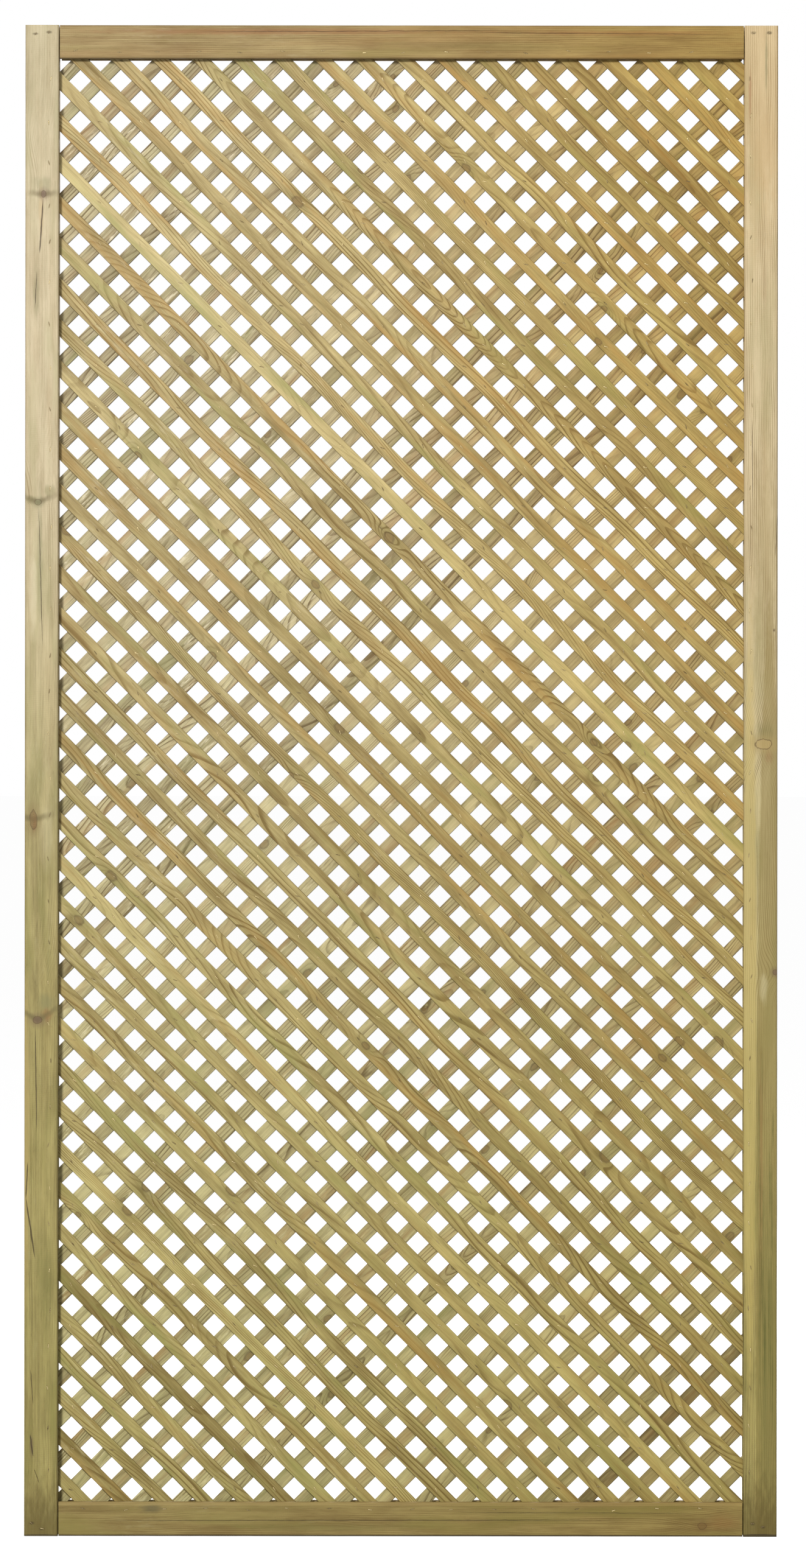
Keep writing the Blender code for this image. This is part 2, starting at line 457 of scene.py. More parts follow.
def grow(name, tree, values, sharp):
    """Runs a tree with its inputs given and keeps the plain mesh that it makes."""
    piece = bpy.data.objects.new(name, bpy.data.meshes.new(name))
    bpy.context.scene.collection.objects.link(piece)
    modifier = piece.modifiers.new(tree.name, "NODES")
    modifier.node_group = tree
    for item in tree.interface.items_tree:
        if item.in_out == "INPUT" and item.name in values:
            modifier[item.identifier] = values[item.name]
    depsgraph = bpy.context.evaluated_depsgraph_get()
    mesh = bpy.data.meshes.new_from_object(
        piece.evaluated_get(depsgraph), preserve_all_data_layers=True, depsgraph=depsgraph
    )
    mesh.name = name
    mesh.shade_smooth()
    mesh.set_sharp_from_angle(angle=sharp)
    piece.modifiers.clear()
    piece.data = mesh
    return piece


# Wood: fields shared by every piece


def attribute(tree, name):
    """A value that a piece's own tree stored on it."""
    node = tree.nodes.new("ShaderNodeAttribute")
    node.attribute_name = name
    return Field(tree, node.outputs["Vector"])


WOOD_INPUTS = [
    ("Grain", VECTOR), ("Pith", VECTOR), ("Look", VECTOR), ("Push", NUMBER),
    ("Pale", COLOUR), ("Line", COLOUR), ("Brown", COLOUR), ("Green", COLOUR),
    ("Half Width", NUMBER), ("Saw Marks", NUMBER), ("Torn", NUMBER), ("Lower Arris", NUMBER),
]

# Patterns drawn out along the grain: how many of their features come in a metre along it
# and across it, how fine and rough their noise is, how far they are shifted so that no
# two fall together, and the noise at which the patches of some begin and are full
Pattern = namedtuple(
    "Pattern", "along across detail rough shift begins full", defaults=(0.5, 0.0, None, None)
)
FIBRES = Pattern(28.0, 1500.0, 3.0, 0.6)
BANDS = Pattern(5.0, 420.0, 3.0, 0.6)
BLOTCHES = Pattern(13.0, 60.0, 3.0, 0.6)
WANDERING = Pattern(5.0, 25.0, 2.0)
FLECKS = Pattern(150.0, 2600.0, 1.0, 0.5, 9.0, 0.66, 0.78)
BROWN_PATCHES = Pattern(6.0, 90.0, 2.0, 0.5, 3.0, 0.42, 0.75)
GREEN_PATCHES = Pattern(8.0, 50.0, 3.0, 0.5, 7.0, 0.44, 0.74)
TORN_FIBRES = Pattern(38.0, 260.0, 3.0, 0.7, 1.0, 0.50, 0.72)

# Growth rings: how far they wander, how unevenly they bunch, and where in each ring the
# dark late wood begins, is full, begins to end and ends
RING_WANDER = 0.009
RING_BUNCHING = 1.6
LATE_WOOD = (0.52, 0.90, 0.93, 1.0)

# How much each feature darkens the wood, and torn wood on top of that
RING_SHADE = 0.68
FIBRE_SHADE = 0.45
TORN_FIBRE_SHADE = 0.25
BAND_SHADE = 0.50
TORN_BAND_SHADE = 0.20
BLOTCH_SHADE = 0.80
FLECK_SHADE = 0.24
PALEST = -0.15
DARKEST = 1.15

# How many ridges the saw leaves in a metre, times two pi, and how much they slant
SAW_RIDGES = 2400.0
SAW_SLANT = 260.0

# How much the hue of a piece weighs, and how brown and green a piece of middle hue is
HUE_WEIGHT = 0.7
MIDDLE_BROWN = 0.25
MIDDLE_GREEN = 0.42


def pattern(tree, grain, kind):
    """Noise from 0 to 1, drawn out along the grain."""
    along, across, depth = grain
    place = bundle(
        tree, along * kind.along + kind.shift, across * kind.across, depth * kind.across
    )
    return clouds(tree, place, kind.detail, kind.rough)


def patches(tree, grain, kind):
    """0 outside a pattern's patches and 1 within them."""
    return pattern(tree, grain, kind).rise(kind.begins, kind.full)


def growth_rings(tree, grain, pith, push):
    """Dark late-wood lines of the rings that the saw cut through, from 0 to 1."""
    along, across, depth = grain
    pith_across, pith_depth, ring_width = pith.parts()
    wander = pattern(tree, grain, WANDERING) - 0.5
    side = across - pith_across
    down = depth - pith_depth
    from_pith = (side * side + down * down).math("SQRT")
    steep = (side / from_pith).size().rise(0.0, 0.45) * 0.6 + 0.4
    radius = from_pith + wander * RING_WANDER + push
    bunch = clouds(tree, bundle(tree, radius * 90.0, along * 0.7, 0.0), 1.0) * RING_BUNCHING
    phase = (radius / ring_width + bunch).math("FRACT")
    late = phase.rise(*LATE_WOOD[:2]) * phase.fall(*LATE_WOOD[2:])
    faint = clouds(tree, bundle(tree, radius * 160.0, along * 6.0, 2.0), 2.0)
    return late * faint.rise(0.25, 0.70) * steep


def plain_wood(tree, grain, rings, fibre, fleck, inputs):
    """The wood's colour between pale and line, by how much its features darken it."""
    tone = inputs["Look"].parts()[0]
    torn = inputs["Torn"]
    band = pattern(tree, grain, BANDS)
    blotch = pattern(tree, grain, BLOTCHES)
    fibre_shade = torn * TORN_FIBRE_SHADE + FIBRE_SHADE
    band_shade = torn * TORN_BAND_SHADE + BAND_SHADE
    darkness = tone + rings * RING_SHADE + (fibre - 0.5) * fibre_shade
    darkness = darkness + (band - 0.5) * band_shade + (blotch - 0.5) * BLOTCH_SHADE
    darkness = darkness + fleck * FLECK_SHADE
    return tint(tree, darkness.rise(PALEST, DARKEST), inputs["Pale"], inputs["Line"])


def brown_and_green(tree, grain, colour, inputs):
    """Brown patches and green ones, more of one or the other by the piece's hue."""
    hue = inputs["Look"].parts()[1]
    brown = patches(tree, grain, BROWN_PATCHES) * (hue * HUE_WEIGHT + MIDDLE_BROWN)
    colour = tint(tree, brown.most(0.0), colour, inputs["Brown"])
    green = patches(tree, grain, GREEN_PATCHES) * (MIDDLE_GREEN - hue * HUE_WEIGHT)
    return tint(tree, green.most(0.0), colour, inputs["Green"])


def torn_grain(tree, grain, torn):
    """Where the saw tore out fibres, from 0 to 1."""
    along, across = grain[:2]
    patch = clouds(tree, bundle(tree, along * 9.0 + 2.0, across * 9.0, 0.0), 1.0)
    return patches(tree, grain, TORN_FIBRES) * patch.rise(0.45, 0.62) * torn


def worn_and_shaded_edges(tree, across, colour, inputs):
    """Worn long edges, and painted shade on the lower one, the edge turned from the light."""
    side = across / inputs["Half Width"]
    colour = tint(tree, side.size().rise(0.84, 1.0) * 0.40, colour, inputs["Line"])
    return tint(tree, (-side).rise(0.84, 0.96) * inputs["Lower Arris"], colour, LOWER_ARRIS_SHADE)


def saw_ridges(tree, along, across, fibre, strength):
    """The waves that the saw left here and there, and how dark their ridges are."""
    chatter = (along * SAW_RIDGES + across * SAW_SLANT + fibre * 2.0).math("SINE")
    patchy = clouds(tree, bundle(tree, along * 11.0 + 5.0, 0.0, 0.0), 1.0).rise(0.45, 0.62)
    ridge = (chatter * 0.5 + 0.5).rise(0.45, 1.0) * patchy * strength
    return chatter * patchy * strength, ridge * 0.40


def sawn_wood():
    """Softwood with rings, fibres, blotches of brown and green, torn grain and saw marks."""
    tree, inputs = new_tree(
        "sawn softwood", "ShaderNodeTree", WOOD_INPUTS,
        [("Colour", COLOUR), ("Height", NUMBER)],
    )
    grain = inputs["Grain"].parts()
    along, across = grain[:2]
    lines = inputs["Look"].parts()[2]
    rings = growth_rings(tree, grain, inputs["Pith"], inputs["Push"]) * lines
    fibre = pattern(tree, grain, FIBRES)
    fleck = patches(tree, grain, FLECKS)
    colour = plain_wood(tree, grain, rings, fibre, fleck, inputs)
    colour = brown_and_green(tree, grain, colour, inputs)
    torn_off = torn_grain(tree, grain, inputs["Torn"])
    colour = tint(tree, torn_off.least(1.0) * 0.80, colour, CHALK)
    colour = worn_and_shaded_edges(tree, across, colour, inputs)
    saw, ridge = saw_ridges(tree, along, across, fibre, inputs["Saw Marks"])
    colour = tint(tree, ridge, colour, inputs["Line"])
    height = rings * 0.2 + (fibre - 0.5) * 0.8 + saw * 0.35 - fleck * 0.4 + torn_off * 0.6
    ending = tree.nodes.new("NodeGroupOutput")
    put(tree, ending.inputs["Colour"], colour)
    put(tree, ending.inputs["Height"], height)
    return tree


def scattered_knots(tree, along, across, lane):
    """Knots that come by chance along a lath: how near each place is to one, and its push."""
    cell = (along / KNOT_ROOM).math("FLOOR")
    chance_along, chance_across, chance = dice(tree, bundle(tree, cell, lane, 9.0))
    x = along - (cell + 0.25 + chance_along * 0.5) * KNOT_ROOM
    z = across - (chance_across - 0.5) * LATH_WIDTH
    there = chance.math("LESS_THAN", KNOT_SHARE)
    radius = chance * KNOT_GROWTH + LEAST_KNOT
    ragged = clouds(tree, bundle(tree, along * 130.0, across * 260.0, 6.0), 3.0) - 0.5
    slow = x / KNOT_STRETCH
    reach = (slow * slow + z * z).math("SQRT") / radius + ragged * 0.9
    reach = reach + (1.0 - there) * NOWHERE
    far = x / KNOT_BEND_ALONG
    push = (far * far * -1.0).math("EXPONENT") * there * KNOT_BEND
    push = push * (z.size() / KNOT_BEND_ACROSS).fall(0.0, 1.6)
    return reach, push


def draw_scattered_knots(tree, reach, colour, height):
    """A dark rim, a brown heart and a stained ring round each knot."""
    halo = reach.fall(0.8, 4.5)
    heart = reach.fall(0.6, 1.0)
    rim = reach.rise(0.6, 0.95) * reach.fall(1.0, 1.4)
    colour = tint(tree, halo * LATH_KNOT.halo, colour, MOSS)
    colour = tint(tree, heart * LATH_KNOT.heart, colour, UMBER)
    colour = tint(tree, rim * LATH_KNOT.rim, colour, RESIN)
    return colour, height - rim * KNOT_RIM_DEPTH


def drift_of(tree, number, lane, row):
    """How far a staple strays from its mark, and how it is turned from its row."""
    chance_along, chance_across, chance_turn = dice(tree, bundle(tree, number, lane, 0.0))
    along = (chance_along - 0.5) * row.drift_along
    across = (chance_across - 0.5) * row.drift_across
    turn = (chance_turn - 0.5) * row.swing + row.turn
    return along, across, turn


def has_staple(tree, front, back):
    """1 where the crossing of two numbered laths is stapled, else 0."""
    odd = ((front + back + 200.0) * 0.5).math("FRACT").math("GREATER_THAN", 0.25)
    black = (front - back).math("LESS_THAN", WHITE_FROM_RIGHT)
    black = black * (front + back).math("GREATER_THAN", WHITE_FROM_BELOW)
    regular = 1.0 - (odd - black).size()
    extra = dice(tree, bundle(tree, back, front, 5.0))[0].math("LESS_THAN", EXTRA_STAPLES)
    return regular.most(extra)


def staple_dents(tree, along, marks, row):
    """Where the wood is dented round each staple of a row, from 0 to 1, for its relief and its
    painted shade.
    """
    count, across, lane = marks.parts()
    number = count.rounded()
    lane = lane.rounded()
    stray_along, stray_across, turn = drift_of(tree, number, lane, row)
    from_mark = (count - number) * row.step
    x = from_mark - stray_along
    z = across - stray_across
    run = turn.math("COSINE")
    climb = turn.math("SINE")
    length = (x * run + z * climb) / DENT_LENGTH
    width = (z * run - x * climb) / DENT_WIDTH
    dent = (length * length + width * width).math("SQRT").fall(0.55, 1.35)
    depth = dice(tree, bundle(tree, number, lane, 3.0))[0] * 0.6 + 0.4
    if row.reach:
        return dent * depth * (along - x).size().math("LESS_THAN", row.reach)
    return dent * depth * has_staple(tree, lane, number)


# Knots, cracks and stains that single pieces have. A knot bends the grain over a length
# above and below itself, counted in its own lengths, and where it came with others in a
# whorl, a dark seam climbs from it to both edges by its splay.

Knot = namedtuple(
    "Knot", "along across length width push heart splay above below", defaults=(0.0, 8.0, 6.0)
)
Crack = namedtuple("Crack", "along across length slant width")
Stain = namedtuple("Stain", "along across length width colour strength edge", defaults=(0.25,))


class Figure:
    """What marks one piece of wood out, each mark placed from the piece's middle."""

    def __init__(self, knots=(), cracks=(), stains=()):
        self.knots = knots
        self.cracks = cracks
        self.stains = stains

    def push(self, along, across):
        """How far the knots pull the growth rings down to themselves."""
        total = 0.0
        for knot in self.knots:
            rise = above_seam(knot, along, across)
            x = rise.most(0.0) / (knot.length * knot.above)
            x = x + rise.least(0.0) / (knot.length * knot.below)
            z = (across - knot.across) / (knot.width * 6.0)
            total = total + ((x * x + z * z) * -1.0).math("EXPONENT") * knot.push
        return total

    def draw(self, tree, along, across, colour, height):
        """Lays the marks over the plain wood's colour and height."""
        ragged = clouds(tree, bundle(tree, along * 60.0, across * 220.0, 4.0), 3.0) - 0.5
        for stain in self.stains:
            colour = draw_stain(tree, stain, along, across, ragged, colour)
        for crack in self.cracks:
            colour, height = draw_crack(tree, crack, along, across, ragged, colour, height)
        for knot in self.knots:
            colour, height = draw_knot(tree, knot, along, across, ragged, colour, height)
        return colour, height


def above_seam(knot, along, across):
    """How far above a knot, or the seam that climbs from it, a place is."""
    return along - knot.along - (across - knot.across).size() * knot.splay


def draw_stain(tree, stain, along, across, ragged, colour):
    """A soft patch of another colour."""
    x = (along - stain.along) / stain.length
    z = (across - stain.across) / stain.width
    reach = (x * x + z * z).math("SQRT") + ragged * (1.1 - stain.edge)
    return tint(tree, reach.fall(stain.edge, 1.1) * stain.strength, colour, stain.colour)


def draw_crack(tree, crack, along, across, ragged, colour, height):
    """A fine split along the grain, thinner towards its ends."""
    x = (along - crack.along) / crack.length
    z = across - crack.across - (along - crack.along) * crack.slant + ragged * 0.0016
    thin = (x * x).fall(0.2, 1.0) * crack.width
    line = (z.size() / (thin + 0.00002)).fall(0.5, 1.4) * (x * x).fall(0.7, 1.0)
    return tint(tree, line * 0.8, colour, SPLIT), height - line * 2.0


def draw_knot(tree, knot, along, across, ragged, colour, height):
    """A knot with its own fine rings, a dark rim and a shadow of resin round it."""
    x = (along - knot.along) / knot.length
    z = (across - knot.across) / knot.width
    reach = (x * x + z * z).math("SQRT") + ragged * 0.75
    halo = reach.fall(0.9, 2.8)
    heart = reach.fall(0.80, 1.05)
    rim = reach.rise(0.84, 0.97) * reach.fall(1.0, 1.12)
    rings = ((reach * KNOT_RINGS).math("FRACT") - 0.5).size().rise(0.2, 0.5)
    colour = tint(tree, halo * BATTEN_KNOT.halo, colour, knot.heart)
    if knot.splay:
        off_seam = (above_seam(knot, along, across) + ragged * 0.004).size()
        seam = off_seam.fall(0.0004, SEAM_WIDTH) * z.size().fall(0.5, 8.0)
        colour = tint(tree, seam * SEAM_SHADE, colour, BARK)
    colour = tint(tree, heart * (BATTEN_KNOT.heart + rings * 0.4), colour, knot.heart)
    colour = tint(tree, rim * BATTEN_KNOT.rim, colour, RESIN)
    return colour, height - rim * KNOT_RIM_DEPTH


# Colours

# Painted shade in the dents round the staples
DENT_SHADE = paint(66, 52, 32)
# Painted shade along the foot of the panel, where it stands on the floor
FOOT_EDGE_SHADE = paint(62, 52, 36)
SPLIT = paint(58, 44, 34)
RESIN = paint(88, 64, 44)
UMBER = paint(124, 96, 62)
# Painted shade on the edge of a piece that is turned from the light
LOWER_ARRIS_SHADE = paint(84, 74, 50)
SOOT = paint(96, 88, 70)
GREY_GREEN = paint(132, 130, 96)
MOSS = paint(124, 118, 72)
BARK = paint(112, 100, 68)
RUST = paint(150, 92, 60)
PLUM = paint(110, 84, 78)
BUFF = paint(196, 168, 124)
HONEY = paint(190, 165, 115)
CHALK = paint(232, 220, 188)
OLIVE_SAP = paint(146, 128, 76)
SAPWOOD = paint(210, 188, 124)
FERN = paint(96, 96, 50)
LOAM = paint(100, 84, 44)
BRIGHT_WIRE = paint(226, 206, 152)
DULL_WIRE = paint(98, 80, 50)
WIRE_METAL = 0.6

# Pale early wood, dark lines, brown patches and green patches of each kind of piece
Colours = namedtuple("Colours", "pale line brown green")
FRONT_LATH_COLOURS = Colours(
    paint(222, 204, 148), paint(124, 102, 58), paint(184, 148, 90), paint(160, 156, 98)
)
BACK_LATH_COLOURS = Colours(
    paint(222, 209, 167), paint(116, 99, 68), paint(176, 142, 100), paint(152, 148, 102)
)
PALE_STILE_COLOURS = Colours(
    paint(224, 209, 175), paint(146, 126, 90), paint(206, 176, 134), paint(176, 168, 126)
)
OLIVE_STILE_COLOURS = Colours(
    paint(198, 182, 127), paint(98, 84, 50), paint(166, 134, 84), paint(138, 132, 76)
)
RAIL_COLOURS = Colours(
    paint(190, 170, 120), paint(116, 92, 54), paint(166, 128, 82), paint(142, 130, 76)
)

# How wood takes its saw marks, torn grain, painted shade on its arris turned from the light,
# knots by chance, and the warmer tint that it takes towards the right of the panel
Finish = namedtuple("Finish", "saw_marks torn lower_arris knotty glaze")
SAND_GLAZE = paint(250, 244, 232)
GOLDEN_GLAZE = paint(249, 236, 190)
AMBER_GLAZE = paint(236, 214, 158)
FOOT_GLAZE = paint(246, 249, 222)
STILE_FINISH = Finish(0.15, 0.10, 0.15, False, SAND_GLAZE)
RAIL_FINISH = Finish(0.12, 0.10, 0.25, False, GOLDEN_GLAZE)
FRONT_LATH_FINISH = Finish(0.15, 0.25, 0.45, True, GOLDEN_GLAZE)
BACK_LATH_FINISH = Finish(0.12, 1.00, 0.75, True, AMBER_GLAZE)


WOOD_ROUGHNESS = 0.74
WOOD_SHINE = 0.3
GRAIN_RELIEF = 0.40
GRAIN_DEPTH = 0.0004
LANE_SHIFT = 1.7  # between the grain of one lath and the next

# Between which places on the panel, to the right or up, its wood changes
LESS_TORN = (-0.35, 0.20)
MORE_GLAZED = (-0.30, 0.45)
GLAZED_HIGHER = (0.4, 1.7)
LESS_GREEN = (0.1, 1.4)


def empty_material(name):
    """A new material and its node tree."""
    material = bpy.data.materials.new(name)
    material.use_nodes = True
    return material, material.node_tree


def place_on_panel(tree):
    """The three parts of a point's place on the panel."""
    return Field(tree, tree.nodes.new("ShaderNodeTexCoord").outputs["Object"]).parts()


def give_colours(tree, group, along, colours, low):
    """Sets the wood's four colours, with those of a stile changed towards its foot."""
    for label in colours._fields:
        colour = getattr(colours, label)
        if low:
            share = along.fall(low.bottom, low.top)
            colour = tint(tree, share, colour, getattr(low.colours, label))
        put(tree, group.inputs[label.title()], colour)


def glazed(tree, colour, x, z, glaze):
    """A warmer tint, stronger to the right and the top, and a greener one at the foot."""
    right = x.rise(*MORE_GLAZED) * (z.rise(*GLAZED_HIGHER) * 0.6 + 0.4)
    colour = tint(tree, right, colour, glaze, "MULTIPLY")
    return tint(tree, z.fall(*LESS_GREEN), colour, FOOT_GLAZE, "MULTIPLY")


def finish_wood(tree, colour, height):
    """Gives the shader its colour, its matt surface and its relief."""
    shader = tree.nodes["Principled BSDF"]
    put(tree, shader.inputs["Base Color"], colour)
    shader.inputs["Roughness"].default_value = WOOD_ROUGHNESS
    shader.inputs["Specular IOR Level"].default_value = WOOD_SHINE
    bump = tree.nodes.new("ShaderNodeBump")
    bump.inputs["Strength"].default_value = GRAIN_RELIEF
    bump.inputs["Distance"].default_value = GRAIN_DEPTH
    put(tree, bump.inputs["Height"], height)
    tree.links.new(bump.outputs["Normal"], shader.inputs["Normal"])


def wood_material(name, colours, half_width, finish, row=None, figure=None, low=None):
    """Sawn wood, with the knots, cracks and stains of one piece if a figure is given."""
    material, tree = empty_material(name)
    marks = attribute(tree, "marks")
    along, across, depth = attribute(tree, "grain").parts()
    lane = marks.parts()[2]
    place_x, _, place_z = place_on_panel(tree)
    group = tree.nodes.new("ShaderNodeGroup")
    group.node_tree = SAWN_WOOD
    put(tree, group.inputs["Grain"], bundle(tree, along + lane * LANE_SHIFT, across, depth))
    put(tree, group.inputs["Pith"], attribute(tree, "pith"))
    put(tree, group.inputs["Look"], attribute(tree, "look"))
    put(tree, group.inputs["Half Width"], half_width)
    put(tree, group.inputs["Saw Marks"], finish.saw_marks)
    put(tree, group.inputs["Torn"], (place_x.fall(*LESS_TORN) * 0.9 + 0.4) * finish.torn)
    # How strong the painted shade on the arris turned from the light is
    put(tree, group.inputs["Lower Arris"], finish.lower_arris)
    give_colours(tree, group, along, colours, low)
    colour = Field(tree, group.outputs["Colour"])
    height = Field(tree, group.outputs["Height"])
    if figure:
        put(tree, group.inputs["Push"], figure.push(along, across))
        colour, height = figure.draw(tree, along, across, colour, height)
    if finish.knotty:
        reach, push = scattered_knots(tree, along, across, lane.rounded())
        flame = clouds(tree, bundle(tree, along * 3.0, lane.rounded() * 7.0, 1.0), 1.0) - 0.5
        put(tree, group.inputs["Push"], push + flame * FLAME)
        colour, height = draw_scattered_knots(tree, reach, colour, height)
    if row:
        dent = staple_dents(tree, along, marks, row) * depth.fall(-0.002, 0.0)
        # Painted shade in the dent round each staple
        colour = tint(tree, dent * 0.75, colour, DENT_SHADE)
        height = height - dent * 1.5
    finish_wood(tree, glazed(tree, colour, place_x, place_z, finish.glaze), height)
    return material


def wire_material():
    """Dull gold wire of the staples, some paler and some darker."""
    material, tree = empty_material("coated staple wire")
    shader = tree.nodes["Principled BSDF"]
    x, y, z = place_on_panel(tree)
    each = clouds(tree, bundle(tree, x * 30.0, 0.0, z * 30.0), 1.0).rise(0.40, 0.60)
    spots = clouds(tree, bundle(tree, x * 700.0, y * 700.0, z * 700.0), 2.0).rise(0.35, 0.65)
    wire_darkness = each * 0.7 + spots * 0.3
    put(tree, shader.inputs["Base Color"], tint(tree, wire_darkness, BRIGHT_WIRE, DULL_WIRE))
    shader.inputs["Metallic"].default_value = WIRE_METAL
    put(tree, shader.inputs["Roughness"], wire_darkness * 0.25 + 0.38)
    return material


# The frame

ROW_MIDDLE = {
    "front_left_stile": (0.0056, 0.0110),
    "front_right_stile": (0.0095, 0.0085),
    "front_top_rail": (0.0041, 0.0084),
    "front_bottom_rail": (0.0134, 0.0087),
}


# Each batten's seed, its look (how dark it is, from green to brown, how strong its lines
# are) and its pith (how far off it was across and in depth, how wide a ring is)
Timber = namedtuple("Timber", "seed look pith")
TIMBERS = {
    "front_left_stile": Timber(201, (0.35, -0.20, 0.6), (-0.045, 0.024, 0.0014)),
    "front_right_stile": Timber(202, (0.20, -0.10, 1.3), (-0.050, 0.020, 0.0019)),
    "front_top_rail": Timber(203, (0.55, -0.05, 0.6), (0.050, 0.020, 0.0019)),
    "front_bottom_rail": Timber(204, (0.56, -0.25, 0.5), (-0.045, 0.024, 0.0017)),
    "back_left_stile": Timber(205, (0.20, 0.10, 0.6), (0.020, -0.026, 0.0040)),
    "back_right_stile": Timber(206, (0.26, -0.15, 0.7), (-0.010, -0.030, 0.0044)),
    "back_top_rail": Timber(207, (0.34, 0.10, 0.6), (0.010, -0.022, 0.0030)),
    "back_bottom_rail": Timber(208, (0.46, -0.10, 0.6), (0.024, -0.020, 0.0036)),
}


def batten_values(node):
    """The sizes of a batten, from the solid that it stands in for, and its own wood."""
    low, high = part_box(node)
    size = high - low
    upright = size.z > size.x
    timber = TIMBERS[node]
    return {
        "Length": max(size.x, size.z) - 2 * BATTEN_SHRINK,
        "Width": min(size.x, size.z) - 2 * BATTEN_SHRINK,
        "Thickness": size.y - 2 * BATTEN_SHRINK,
        "Edge": BATTEN_EDGE,
        "Division": BATTEN_DIVISION,
        "Lean": pi / 2 if upright else 0.0,
        "Wobble": BATTEN_WOBBLE,
        "Seed": float(timber.seed),
        "Look": timber.look,
        "Pith": timber.pith,
        "Place": tuple((low + high) / 2),
        "Mark Step": BATTEN_ROW_STEP,
    }


def row_values(node):
    """Where a front batten's row of staples runs, along its inner edge."""
    low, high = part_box(node)
    first, inset = ROW_MIDDLE[node]
    inward = 1.0 if node in ("front_right_stile", "front_bottom_rail") else -1.0
    half_width = min(high.x - low.x, high.z - low.z) / 2
    return {"First Mark": first, "Mark Row": inward * (half_width - inset)}


def make_batten(node, tree, slot, **wood):
    """One batten with its own wood."""
    values = batten_values(node)
    if node in ROW_MIDDLE:
        values.update(row_values(node))
    values["Material"] = wood_material(f"{node} wood", half_width=values["Width"] / 2, **wood)
    piece = grow(f"{node}_timber", tree, values, TIMBER_SHARP)
    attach(piece, "root")
    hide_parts(node)
    return values


def left_stile_figure():
    """Two whorls of knots with cracks under them, and a red knot between."""
    knots = (
        Knot(0.710, -0.0018, 0.0042, 0.0034, 0.014, PLUM, 0.08, 18.0, 0.9),
        Knot(0.337, 0.0045, 0.0036, 0.0040, 0.014, GREY_GREEN, 0.38, 20.0, 0.9),
        Knot(-0.047, 0.0097, 0.0110, 0.0044, 0.010, UMBER, 0.25, 6.0, 0.6),
        Knot(-0.290, 0.0045, 0.0044, 0.0058, 0.014, PLUM, 0.60, 16.0, 0.9),
    )
    cracks = (
        Crack(0.671, 0.0008, 0.036, -0.063, 0.0009),
        Crack(0.594, 0.0073, 0.024, -0.052, 0.0004),
        Crack(0.244, 0.0013, 0.0905, 0.029, 0.0004),
        Crack(-0.362, 0.0063, 0.072, 0.014, 0.0006),
        Crack(-0.484, 0.0172, 0.024, -0.056, 0.0007),
        Crack(-0.542, 0.0129, 0.040, 0.149, 0.0009),
        Crack(-0.734, 0.0110, 0.023, 0.072, 0.0004),
        Crack(-0.805, 0.0112, 0.0145, 0.14, 0.0008),
        Crack(-0.842, 0.0052, 0.0095, 0.35, 0.0004),
    )
    stains = (
        Stain(0.915, 0.0000, 0.340, 0.0900, GREY_GREEN, 0.25, 0.05),
        Stain(0.722, -0.0010, 0.012, 0.016, GREY_GREEN, 0.35),
        Stain(0.690, 0.0010, 0.045, 0.0040, BUFF, 0.40),
        Stain(0.590, 0.0073, 0.045, 0.0050, GREY_GREEN, 0.35),
        Stain(0.350, -0.0090, 0.010, 0.0090, MOSS, 0.45),
        Stain(0.340, 0.0140, 0.007, 0.0070, MOSS, 0.45),
        Stain(0.270, 0.0022, 0.110, 0.0040, GREY_GREEN, 0.40),
        Stain(0.230, 0.0105, 0.070, 0.0060, CHALK, 0.35),
        Stain(-0.020, 0.0100, 0.050, 0.0110, MOSS, 0.38),
        Stain(-0.050, 0.0085, 0.013, 0.0030, RUST, 0.45),
        Stain(-0.066, -0.0060, 0.050, 0.0100, CHALK, 0.18),
        Stain(-0.268, -0.0060, 0.014, 0.0120, GREY_GREEN, 0.45),
        Stain(-0.284, -0.0070, 0.010, 0.0080, RUST, 0.40),
        Stain(-0.440, 0.0185, 0.230, 0.0055, HONEY, 0.50, 0.45),
        Stain(-0.600, -0.0050, 0.070, 0.0150, MOSS, 0.50, 0.10),
        Stain(-0.805, 0.0112, 0.020, 0.0030, PLUM, 0.50),
        Stain(-0.9150, 0.0, 0.085, 0.0700, LOAM, 0.75, 0.15),
        # Painted shade along the stile's foot
        Stain(-0.9146, 0.0, 0.0022, 0.0300, FOOT_EDGE_SHADE, 0.85, 0.80),
        # Painted shade in the dents round the staples near the stile's ends
        Stain(0.904, 0.0080, 0.0020, 0.0044, DENT_SHADE, 0.70),
        Stain(0.906, -0.0080, 0.0022, 0.0040, DENT_SHADE, 0.70),
        Stain(-0.899, 0.0111, 0.0024, 0.0038, DENT_SHADE, 0.70),
        Stain(-0.906, -0.0013, 0.0024, 0.0038, DENT_SHADE, 0.70),
    )
    return Figure(knots, cracks, stains)


GREEN_STREAKS = 18
STREAK_SEED = 31


def green_streaks():
    """Thin green streaks along the grain, low on the outer part of the right stile."""
    rng = random.Random(STREAK_SEED)
    streaks = []
    for number in range(GREEN_STREAKS):
        along = rng.uniform(-0.74, -0.42)
        across = rng.uniform(-0.0170, 0.0020)
        length = rng.uniform(0.030, 0.100)
        width = rng.uniform(0.0007, 0.0014)
        streaks.append(Stain(along, across, length, width, FERN, rng.uniform(0.3, 0.7), 0.20))
    return streaks


